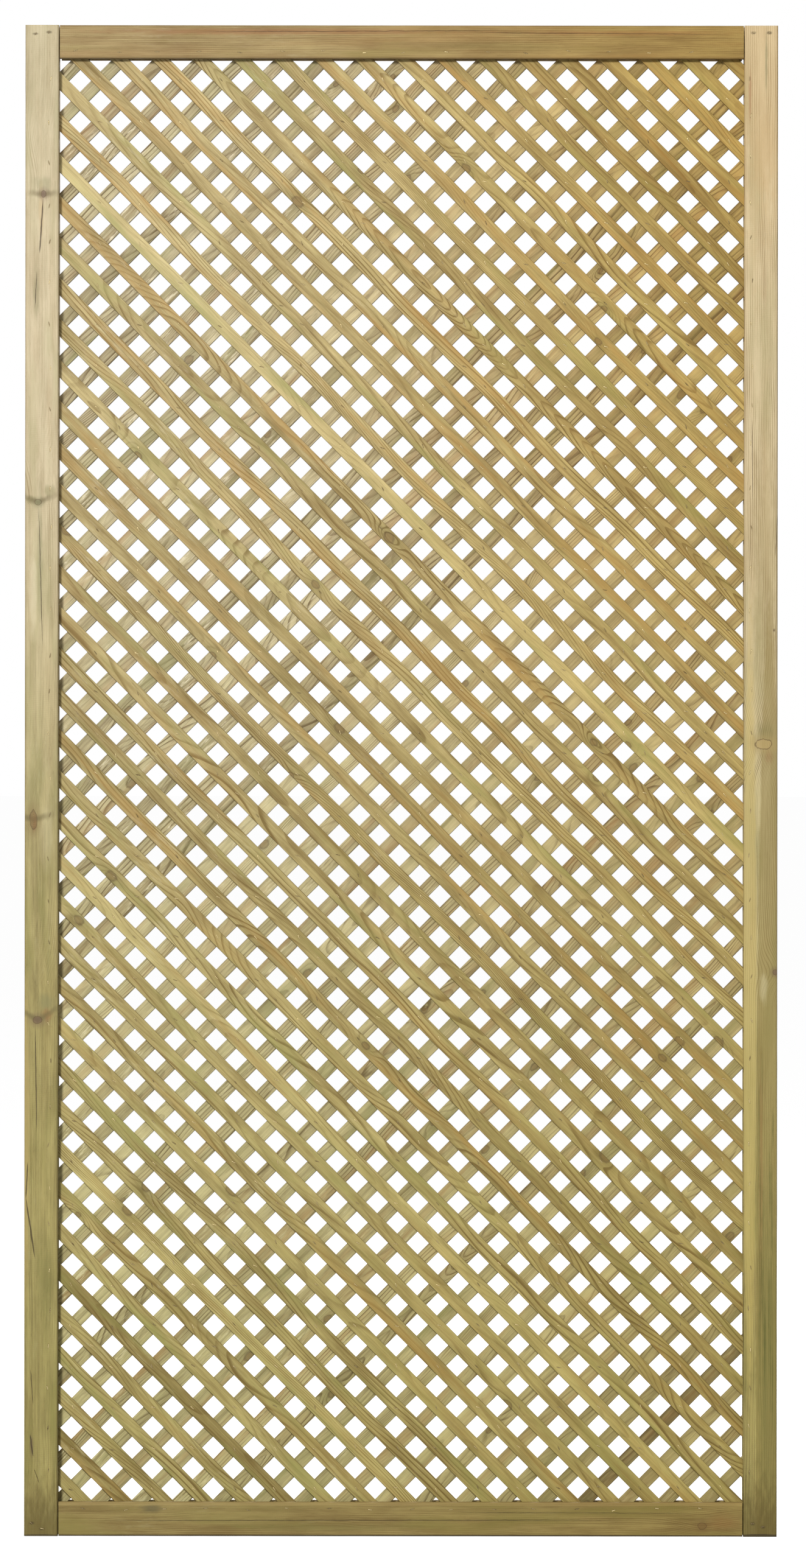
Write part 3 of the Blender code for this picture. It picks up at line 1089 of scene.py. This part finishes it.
def right_stile_figure():
    """A sound knot half way up, with a pale strip of sapwood on the inner side."""
    knots = (
        Knot(0.0448, -0.0035, 0.0062, 0.0098, 0.014, HONEY),
        Knot(0.1827, -0.0161, 0.0011, 0.0009, 0.0, RESIN),
        Knot(-0.2313, -0.0180, 0.0034, 0.0032, 0.010, PLUM),
    )
    cracks = (
        Crack(0.390, 0.0105, 0.055, 0.01, 0.0003),
        Crack(0.300, -0.0190, 0.030, -0.05, 0.0003),
    )
    stains = (
        Stain(0.860, 0.0000, 0.300, 0.0600, BUFF, 0.35, 0.20),
        Stain(-0.620, -0.0110, 0.800, 0.0155, OLIVE_SAP, 0.55, 0.97),
        Stain(-0.280, 0.0130, 0.500, 0.0090, SAPWOOD, 0.50, 0.70),
        Stain(0.270, -0.0060, 0.200, 0.0200, OLIVE_SAP, 0.38, 0.10),
        Stain(0.052, -0.0040, 0.026, 0.0180, MOSS, 0.50, 0.20),
        Stain(0.030, -0.0100, 0.012, 0.0060, RUST, 0.25, 0.10),
        Stain(0.870, -0.0060, 0.045, 0.0022, GREY_GREEN, 0.55),
        Stain(0.830, 0.0135, 0.040, 0.0024, RUST, 0.35),
        Stain(0.760, -0.0040, 0.070, 0.0200, BUFF, 0.35),
        Stain(-0.250, -0.0040, 0.022, 0.0060, CHALK, 0.35),
        Stain(-0.523, -0.0035, 0.045, 0.0020, MOSS, 0.55),
        Stain(-0.356, -0.0020, 0.040, 0.0016, MOSS, 0.45),
        Stain(-0.490, -0.0010, 0.180, 0.0030, RUST, 0.28),
        Stain(-0.720, -0.0060, 0.120, 0.0030, MOSS, 0.35),
        Stain(-0.720, -0.0100, 0.320, 0.0180, MOSS, 0.45, 0.30),
        *green_streaks(),
        Stain(-0.9150, 0.0, 0.085, 0.0700, LOAM, 0.75, 0.15),
        # Painted shade along the stile's foot
        Stain(-0.9143, 0.0, 0.0030, 0.0300, FOOT_EDGE_SHADE, 0.90, 0.80),
        # Painted shade in the dents round the staples near the stile's ends
        Stain(0.906, 0.0094, 0.0024, 0.0038, DENT_SHADE, 0.70),
        Stain(0.906, -0.0094, 0.0024, 0.0038, DENT_SHADE, 0.70),
        Stain(-0.899, 0.0090, 0.0024, 0.0038, DENT_SHADE, 0.70),
        Stain(-0.903, -0.0032, 0.0024, 0.0038, DENT_SHADE, 0.70),
    )
    return Figure(knots, cracks, stains)


def top_rail_figure():
    """Reddish lines near the top edge."""
    cracks = (
        Crack(-0.060, 0.0130, 0.20, 0.004, 0.0003),
        Crack(0.240, 0.0105, 0.16, -0.006, 0.0003),
    )
    stains = (
        Stain(-0.150, 0.0125, 0.30, 0.0050, RUST, 0.35),
        Stain(0.270, 0.0110, 0.16, 0.0040, RUST, 0.30),
        Stain(0.120, -0.0060, 0.10, 0.0070, MOSS, 0.25),
    )
    return Figure((), cracks, stains)


def bottom_rail_figure():
    """A smudge near one end, a knot and a red patch near the other."""
    knots = (Knot(0.365, -0.0079, 0.0050, 0.0042, 0.006, UMBER),)
    cracks = (
        Crack(-0.050, -0.0012, 0.34, 0.002, 0.0004),
        Crack(0.210, 0.0080, 0.15, -0.004, 0.0003),
    )
    stains = (
        Stain(-0.3015, 0.0128, 0.018, 0.0065, SOOT, 0.60),
        Stain(0.390, -0.0030, 0.024, 0.0120, RUST, 0.22),
        Stain(-0.100, -0.0100, 0.16, 0.0060, MOSS, 0.30),
        # Painted highlight along the rail's upper edge, standing in for its lit top face
        Stain(0.000, 0.0190, 0.90, 0.0026, BUFF, 0.30, 0.85),
        # Painted shade along the rail's lower edge
        Stain(0.000, -0.0206, 0.90, 0.0020, FOOT_EDGE_SHADE, 0.90, 0.80),
    )
    return Figure(knots, cracks, stains)


def back_stile_figure():
    """A few small knots and a long crack."""
    knots = (
        Knot(0.520, 0.0070, 0.0070, 0.0055, 0.010, RUST),
        Knot(-0.160, -0.0060, 0.0060, 0.0050, 0.010, PLUM),
        Knot(-0.610, 0.0040, 0.0080, 0.0060, 0.012, HONEY),
    )
    cracks = (
        Crack(0.430, 0.0060, 0.060, 0.02, 0.0004),
        Crack(-0.320, -0.0020, 0.090, -0.01, 0.0005),
    )
    stains = (
        Stain(0.100, 0.0020, 0.200, 0.0060, GREY_GREEN, 0.35),
        Stain(-0.700, -0.0060, 0.150, 0.0080, MOSS, 0.35),
    )
    return Figure(knots, cracks, stains)


# The other colours that a stile takes on towards its foot, and where the change begins
# and ends, from its middle
Low = namedtuple("Low", "colours bottom top")
LEFT_LOW = Low(OLIVE_STILE_COLOURS, -0.30, 0.50)
RIGHT_LOW = Low(OLIVE_STILE_COLOURS, -0.70, 0.55)


def make_frame(tree):
    """The four front battens and the four behind the lattice."""
    stile = {"slot": "stile_wood", "colours": PALE_STILE_COLOURS, "finish": STILE_FINISH}
    rail = {"slot": "rail_wood", "colours": RAIL_COLOURS, "finish": RAIL_FINISH}
    fronts = [
        make_batten(
            "front_left_stile", tree,
            low=LEFT_LOW, row=STILE_ROW, figure=left_stile_figure(), **stile,
        ),
        make_batten(
            "front_right_stile", tree,
            low=RIGHT_LOW, row=STILE_ROW, figure=right_stile_figure(), **stile,
        ),
        make_batten(
            "front_top_rail", tree, row=RAIL_ROW, figure=top_rail_figure(), **rail
        ),
        make_batten(
            "front_bottom_rail", tree, row=RAIL_ROW, figure=bottom_rail_figure(), **rail
        ),
    ]
    figure = back_stile_figure()
    make_batten("back_left_stile", tree, low=LEFT_LOW, figure=figure, **stile)
    make_batten("back_right_stile", tree, low=RIGHT_LOW, figure=figure, **stile)
    make_batten("back_top_rail", tree, **rail)
    make_batten("back_bottom_rail", tree, **rail)
    return fronts


# The lattice


def layer_offsets(side, lean):
    """Each lath of one layer, by its offset across the layer, with the node that holds it."""
    across = Vector((-sin(lean), 0.0, cos(lean)))
    middle = Vector((0.0, 0.0, MID_HEIGHT))
    found = []
    for name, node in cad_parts.items():
        if name.startswith("crossed_laths"):
            places = [
                across.dot(vertex.co - middle)
                for vertex in node.data.vertices
                if vertex.co.y * side > LATH_THICKNESS * 0.9
            ]
            found.append(((min(places) + max(places)) / 2, name))
    return sorted(found)


def lath_values(offset, lean, y):
    """The sizes and place of one lath."""
    return {
        "Offset": offset,
        "Half Width": PANEL_WIDTH / 2 - LATH_END_INSET,
        "Half Height": PANEL_HEIGHT / 2 - LATH_END_INSET,
        "Width": LATH_WIDTH,
        "Thickness": LATH_THICKNESS,
        "Edge": LATH_EDGE,
        "Division": LATH_DIVISION,
        "Lean": lean,
        "Wobble": LATH_WOBBLE,
        "Place": (0.0, y, MID_HEIGHT),
        "Mark Row": offset,
    }


def lath_wood(rng, tone):
    """Chance look and heart of one lath: tone, brown or green, how strong its lines are."""
    hue = rng.uniform(*LATH_HUES)
    lines = rng.choice(LATH_LINES)
    look = (tone + rng.uniform(-LATH_TONE_SPREAD, LATH_TONE_SPREAD), hue, lines)
    pith = (
        rng.uniform(*LATH_PITH_ACROSS), rng.uniform(*LATH_PITH_DEEP), rng.uniform(*LATH_RINGS)
    )
    return look, pith


def crossings_along(offset, layer, other):
    """How far along a lath it meets lath 0 of the other layer, and the step to the next."""
    turn = layer.lean - other.lean
    first = (other.start - offset * cos(turn)) / sin(turn)
    return first, other.pitch / sin(turn)


# How much darker single laths are than the rest of their layer, or paler if below zero
FRONT_TONES = {
    -24: 0.16, -20: 0.20, -17: -0.12, -10: -0.14, -9: -0.12, -7: 0.12, -6: 0.10, -3: 0.14,
    0: 0.12, 2: -0.06, 7: -0.14, 8: -0.12, 14: 0.12, 19: 0.12, 21: 0.25, 22: 0.12, 24: -0.12,
}
BACK_TONES = {
    -22: 0.34, -21: 0.16, -17: -0.18, -12: -0.10, -5: -0.20, -2: -0.16, 1: -0.16, 2: -0.24,
    3: -0.12, 4: 0.14, 6: 0.14, 7: -0.08, 8: 0.12, 12: 0.14, 13: -0.16, 22: -0.12,
}
FRONT_TONE = 0.56
BACK_TONE = 0.42
CORNER_TONE = 0.13  # how much darker the back laths in the upper left corner are
CORNER_LATH = 17  # the first of them
LAYER_SEED = 1000
BACK_LANES = 100  # keeps the back laths' chance patterns apart from the front ones'


def lath_tone(place, side, tones):
    """How dark one lath is, by its layer and its place in it."""
    if side < 0:
        return FRONT_TONE + tones.get(place, 0.0)
    corner = CORNER_TONE if place >= CORNER_LATH else 0.0
    return BACK_TONE + tones.get(place, 0.0) + corner


def make_layer(label, tree, material, layer, other, side, tones):
    """All the laths of one layer."""
    for number, (offset, node) in enumerate(layer_offsets(side, layer.lean), 1):
        place = round((offset - layer.start) / layer.pitch)
        rng = random.Random(LAYER_SEED * side + place)
        values = lath_values(offset, layer.lean, side * LATH_MIDDLE)
        values["Look"], values["Pith"] = lath_wood(rng, lath_tone(place, side, tones))
        values["Bow"] = rng.uniform(-LATH_BOW, LATH_BOW)
        values["Seed"] = float(place + BACK_LANES * (side + 1))
        values["First Mark"], values["Mark Step"] = crossings_along(offset, layer, other)
        values["Material"] = material
        piece = grow(f"{label}_lath_{number:02d}", tree, values, TIMBER_SHARP)
        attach(piece, "root")
        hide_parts(node)


def make_lattice(tree, row):
    """The layer in front, which the staples hold, and the layer behind it."""
    half_width = LATH_WIDTH / 2
    front_wood = wood_material(
        "front lath wood", FRONT_LATH_COLOURS, half_width, FRONT_LATH_FINISH, row
    )
    back_wood = wood_material(
        "back lath wood", BACK_LATH_COLOURS, half_width, BACK_LATH_FINISH
    )
    make_layer("front", tree, front_wood, FRONT, BACK, -1, FRONT_TONES)
    make_layer("back", tree, back_wood, BACK, FRONT, 1, BACK_TONES)


# Staples

STAPLE_INPUTS = [
    ("Half Crown", NUMBER), ("Leg", NUMBER), ("Wire", NUMBER), ("Bend", NUMBER), ("Sink", NUMBER),
    ("Turn", NUMBER), ("Swing", NUMBER), ("Drift Along", NUMBER), ("Drift Across", NUMBER),
    ("Material", MATERIAL),
]


def staple_shape(tree, inputs):
    """A bent wire: its crown along X and its legs running along Y into the wood."""
    line = step(tree, "GeometryNodeMeshLine", {"Count": 4})
    place = step(tree, "GeometryNodeInputIndex") - 1.5
    x = place.math("SIGN") * inputs["Half Crown"]
    y = (place.size() - 0.5) * inputs["Leg"] + inputs["Sink"]
    line = step(
        tree, "GeometryNodeSetPosition",
        {"Geometry": line, "Position": bundle(tree, x, y, 0.0)},
    )
    path = step(tree, "GeometryNodeMeshToCurve", {"Mesh": line})
    path = step(
        tree, "GeometryNodeFilletCurve",
        {"Curve": path, "Count": 2, "Radius": inputs["Bend"], "Limit Radius": True},
        mode="POLY",
    )
    ring = step(
        tree, "GeometryNodeCurvePrimitiveCircle", {"Resolution": 6, "Radius": inputs["Wire"]}
    )
    return step(
        tree, "GeometryNodeCurveToMesh",
        {"Curve": path, "Profile Curve": ring, "Fill Caps": False},
    )


def set_staples(tree, inputs, points, place, lean, turn):
    """Puts a staple at each point, turned from its row, and ends the tree."""
    points = step(tree, "GeometryNodeSetPosition", {"Geometry": points, "Position": place})
    angle = step(tree, "FunctionNodeEulerToRotation", {
        "Euler": bundle(tree, 0.0, -(lean + turn), 0.0),
    })
    staples = step(tree, "GeometryNodeInstanceOnPoints", {
        "Points": points, "Instance": staple_shape(tree, inputs), "Rotation": angle,
    })
    return end_tree(tree, staples, inputs["Material"])


def row_of(inputs):
    """The row that a tree's own inputs describe."""
    return Row(
        None, inputs["Turn"], inputs["Swing"], inputs["Drift Along"], inputs["Drift Across"], None
    )


def staple_row_tree():
    """A row of staples along a batten, or a pair near its end."""
    own = [
        ("Count", WHOLE), ("First Number", NUMBER), ("First Mark", NUMBER),
        ("Mark Step", NUMBER), ("Mark Row", NUMBER), ("Seed", NUMBER), ("Lean", NUMBER),
        ("Place", VECTOR), ("Reach", NUMBER),
    ]
    tree, inputs = new_tree(
        "row of staples", "GeometryNodeTree", own + STAPLE_INPUTS, [("Staples", GEOMETRY)]
    )
    points = step(tree, "GeometryNodeMeshLine", {"Count": inputs["Count"]})
    number = step(tree, "GeometryNodeInputIndex") + inputs["First Number"]
    stray_along, stray_across, turn = drift_of(tree, number, inputs["Seed"], row_of(inputs))
    along = inputs["First Mark"] + number * inputs["Mark Step"] + stray_along
    points = keep(tree, points, "spot", bundle(tree, along, stray_across, turn))
    stored = step(
        tree, "GeometryNodeInputNamedAttribute", {"Name": "spot"}, data_type="FLOAT_VECTOR"
    )
    along, stray_across, turn = stored.parts()
    beyond = along.size().math("GREATER_THAN", inputs["Reach"])
    points = step(
        tree, "GeometryNodeDeleteGeometry", {"Geometry": points, "Selection": beyond}
    )
    place = leaned(
        tree, inputs["Place"], inputs["Lean"], along, inputs["Mark Row"] + stray_across, 0.0
    )
    return set_staples(tree, inputs, points, place, inputs["Lean"], turn)


def crossing_staples_tree():
    """A staple where each front lath crosses a back one, inside the frame."""
    own = [
        ("Laths", WHOLE), ("First Lath", NUMBER),
        ("Front Lean", NUMBER), ("Front Pitch", NUMBER), ("Front Start", NUMBER),
        ("Back Lean", NUMBER), ("Back Pitch", NUMBER), ("Back Start", NUMBER),
        ("Place", VECTOR), ("Half Width", NUMBER), ("Lowest", NUMBER), ("Highest", NUMBER),
    ]
    tree, inputs = new_tree(
        "staples at crossings", "GeometryNodeTree", own + STAPLE_INPUTS, [("Staples", GEOMETRY)]
    )
    laths = inputs["Laths"]
    points = step(
        tree, "GeometryNodeMeshGrid", {"Vertices X": laths, "Vertices Y": laths}
    )
    index = step(tree, "GeometryNodeInputIndex")
    row = ((index + 0.5) / laths).math("FLOOR")
    front = row + inputs["First Lath"]
    back = index - row * laths + inputs["First Lath"]
    stray_along, stray_across, turn = drift_of(tree, back, front, row_of(inputs))
    front_offset = inputs["Front Start"] + front * inputs["Front Pitch"]
    back_offset = inputs["Back Start"] + back * inputs["Back Pitch"]
    between = inputs["Front Lean"] - inputs["Back Lean"]
    along = (back_offset - front_offset * between.math("COSINE")) / between.math("SINE")
    points = keep(
        tree, points, "spot", bundle(tree, along + stray_along, front_offset + stray_across, turn)
    )
    stored = step(
        tree, "GeometryNodeInputNamedAttribute", {"Name": "spot"}, data_type="FLOAT_VECTOR"
    )
    along, across, turn = stored.parts()
    place = leaned(tree, inputs["Place"], inputs["Front Lean"], along, across, 0.0)
    points = step(tree, "GeometryNodeSetPosition", {"Geometry": points, "Position": place})
    x, _, z = step(tree, "GeometryNodeInputPosition").parts()
    outside = x.size().math("GREATER_THAN", inputs["Half Width"])
    outside = outside + z.math("LESS_THAN", inputs["Lowest"])
    outside = outside + z.math("GREATER_THAN", inputs["Highest"])
    unused = outside + 1.0 - has_staple(tree, front, back)
    points = step(
        tree, "GeometryNodeDeleteGeometry", {"Geometry": points, "Selection": unused}
    )
    here = step(tree, "GeometryNodeInputPosition")
    return set_staples(tree, inputs, points, here, inputs["Front Lean"], turn)


def staple_values(row, sink, material):
    """The sizes that every staple has, and how those of a row stray and turn."""
    return {
        "Half Crown": STAPLE_HALF_CROWN,
        "Leg": STAPLE_LEG,
        "Wire": STAPLE_WIRE,
        "Bend": STAPLE_BEND,
        "Sink": sink,
        "Turn": row.turn,
        "Swing": row.swing,
        "Drift Along": row.drift_along,
        "Drift Across": row.drift_across,
        "Material": material,
    }


def finish_staples(name, tree, values):
    """One piece of staples, set in the wood."""
    piece = grow(name, tree, values, WIRE_SHARP)
    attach(piece, "root")


def make_crossing_staples(row, material):
    """The staples that hold the lattice together."""
    values = staple_values(row, LATH_STAPLE_SINK, material)
    values["Laths"] = LATHS_IN_LAYER
    values["First Lath"] = float(FIRST_LATH)
    for label, layer in (("Front", FRONT), ("Back", BACK)):
        values[f"{label} Lean"] = layer.lean
        values[f"{label} Pitch"] = layer.pitch
        values[f"{label} Start"] = layer.start
    values["Place"] = (0.0, -LATH_FACE, MID_HEIGHT)
    values["Half Width"] = OPENING_SIDE - STAPLE_CLEARANCE
    values["Lowest"] = MID_HEIGHT + OPENING_BOTTOM + STAPLE_CLEARANCE
    values["Highest"] = MID_HEIGHT + OPENING_TOP - STAPLE_CLEARANCE
    finish_staples("staples_at_crossings", crossing_staples_tree(), values)


def make_batten_rows(fronts, tree, material):
    """The staples along the front battens, which go through into the lattice."""
    labels = ("left_stile", "right_stile", "top_rail", "bottom_rail")
    for label, batten in zip(labels, fronts):
        row = RAIL_ROW if "rail" in label else STILE_ROW
        values = staple_values(row, BATTEN_STAPLE_SINK, material)
        for name in ("First Mark", "Mark Step", "Mark Row", "Seed", "Lean"):
            values[name] = batten[name]
        x, y, z = batten["Place"]
        values["Place"] = (x, y - batten["Thickness"] / 2, z)
        values["Reach"] = row.reach
        numbers = int(row.reach / row.step) + 2
        values["Count"] = 2 * numbers + 1
        values["First Number"] = float(-numbers)
        finish_staples(f"{label}_staples", tree, values)


# Two staples near each end of each front stile, by the places of their middles
Pair = namedtuple("Pair", "name first_x first_z second_x second_z")
END_PAIRS = (
    Pair("top_left", -0.4433, 1.8189, -0.4273, 1.8209),
    Pair("top_right", 0.4259, 1.8213, 0.4446, 1.8209),
    Pair("bottom_left", -0.4464, 0.0158, -0.4339, 0.0094),
    Pair("bottom_right", 0.4263, 0.0161, 0.4385, 0.0124),
)


def make_end_pairs(fronts, tree, material):
    """The staples near the ends of the front stiles."""
    row = Row(None, PAIR_TURN, PAIR_SWING, 0.0, 0.0, None)
    x, y, z = fronts[0]["Place"]
    face = y - fronts[0]["Thickness"] / 2
    for seed, pair in enumerate(END_PAIRS):
        run = pair.second_x - pair.first_x
        climb = pair.second_z - pair.first_z
        values = staple_values(row, BATTEN_STAPLE_SINK, material)
        values["Count"] = 2
        values["Mark Step"] = hypot(run, climb)
        values["Lean"] = atan2(climb, run)
        values["Place"] = (pair.first_x, face, pair.first_z)
        values["Reach"] = 1.0
        values["Seed"] = float(seed)
        finish_staples(f"{pair.name}_end_staples", tree, values)


# Surroundings


def seen_directly(tree):
    """1 for rays from the camera, and for what metal or glass shows, else 0."""
    node = tree.nodes.new("ShaderNodeLightPath")
    camera = Field(tree, node.outputs["Is Camera Ray"])
    glossy = Field(tree, node.outputs["Is Glossy Ray"])
    through = Field(tree, node.outputs["Is Transmission Ray"])
    return camera.most(glossy).most(through)


def set_world():
    """A white surround, which lights the panel more softly than it looks."""
    world = bpy.data.worlds.new("white studio")
    bpy.context.scene.world = world
    world.use_nodes = True
    tree = world.node_tree
    background = tree.nodes["Background"]
    background.inputs["Color"].default_value = (1.0, 1.0, 1.0, 1.0)
    strength = seen_directly(tree) * (1.0 - WORLD_LIGHT) + WORLD_LIGHT
    put(tree, background.inputs["Strength"], strength)


def floor_material():
    """A pale floor that looks white and keeps the shadow."""
    material, tree = empty_material("pale studio floor")
    tree.nodes.clear()
    seen = seen_directly(tree)
    pale = seen * (FLOOR_PALE - FLOOR_WHITE) + FLOOR_WHITE
    diffuse = tree.nodes.new("ShaderNodeBsdfDiffuse")
    put(tree, diffuse.inputs["Color"], bundle(tree, pale, pale, pale))
    glow = tree.nodes.new("ShaderNodeEmission")
    put(tree, glow.inputs["Strength"], seen * FLOOR_GLOW)
    both = tree.nodes.new("ShaderNodeAddShader")
    tree.links.new(diffuse.outputs[0], both.inputs[0])
    tree.links.new(glow.outputs[0], both.inputs[1])
    ending = tree.nodes.new("ShaderNodeOutputMaterial")
    tree.links.new(both.outputs[0], ending.inputs["Surface"])
    return material


def make_floor():
    """A wide level floor under the panel."""
    mesh = bpy.data.meshes.new("floor")
    corners = [
        (-FLOOR_HALF, -FLOOR_HALF, 0.0), (FLOOR_HALF, -FLOOR_HALF, 0.0),
        (FLOOR_HALF, FLOOR_HALF, 0.0), (-FLOOR_HALF, FLOOR_HALF, 0.0),
    ]
    mesh.from_pydata(corners, [], [(0, 1, 2, 3)])
    mesh.materials.append(floor_material())
    floor = bpy.data.objects.new("studio_floor", mesh)
    bpy.context.scene.collection.objects.link(floor)


def set_lights():
    """A window-like light from the left and above, a faint one overhead, and one behind."""
    for setting in LIGHTS:
        data = bpy.data.lights.new(setting.name, "AREA")
        data.size = setting.size
        data.energy = setting.watts
        light = bpy.data.objects.new(setting.name, data)
        bpy.context.scene.collection.objects.link(light)
        light.location = setting.place
        ray = Vector((0.0, 0.0, MID_HEIGHT)) - Vector(setting.place)
        light.rotation_euler = ray.to_track_quat("-Z", "Y").to_euler()


def set_camera():
    """A long lens square to the front, framing the panel as the photograph does."""
    data = bpy.data.cameras.new("camera")
    data.sensor_fit = "VERTICAL"
    data.sensor_height = CAMERA_SENSOR
    data.lens = CAMERA_SENSOR * CAMERA_DISTANCE * PIXELS_PER_METRE / PHOTO_HEIGHT
    data.clip_end = CAMERA_END
    camera = bpy.data.objects.new("camera", data)
    bpy.context.scene.collection.objects.link(camera)
    camera.location = (CAMERA_X, -BATTEN_FACE - CAMERA_DISTANCE, CAMERA_Z)
    camera.rotation_euler = (pi / 2, -CAMERA_ROLL, 0.0)
    bpy.context.scene.camera = camera


SAWN_WOOD = sawn_wood()
CROSSING_ROW = Row(
    crossings_along(0.0, FRONT, BACK)[1], CROSSING_TURN, CROSSING_SWING,
    CROSSING_DRIFT, CROSSING_DRIFT, None,
)

fronts = make_frame(batten_tree())
make_lattice(lath_tree(), CROSSING_ROW)
wire = wire_material()
make_crossing_staples(CROSSING_ROW, wire)
row_tree = staple_row_tree()
make_batten_rows(fronts, row_tree, wire)
make_end_pairs(fronts, row_tree, wire)
set_world()
make_floor()
set_lights()
set_camera()
bpy.context.scene.view_settings.view_transform = "Standard"
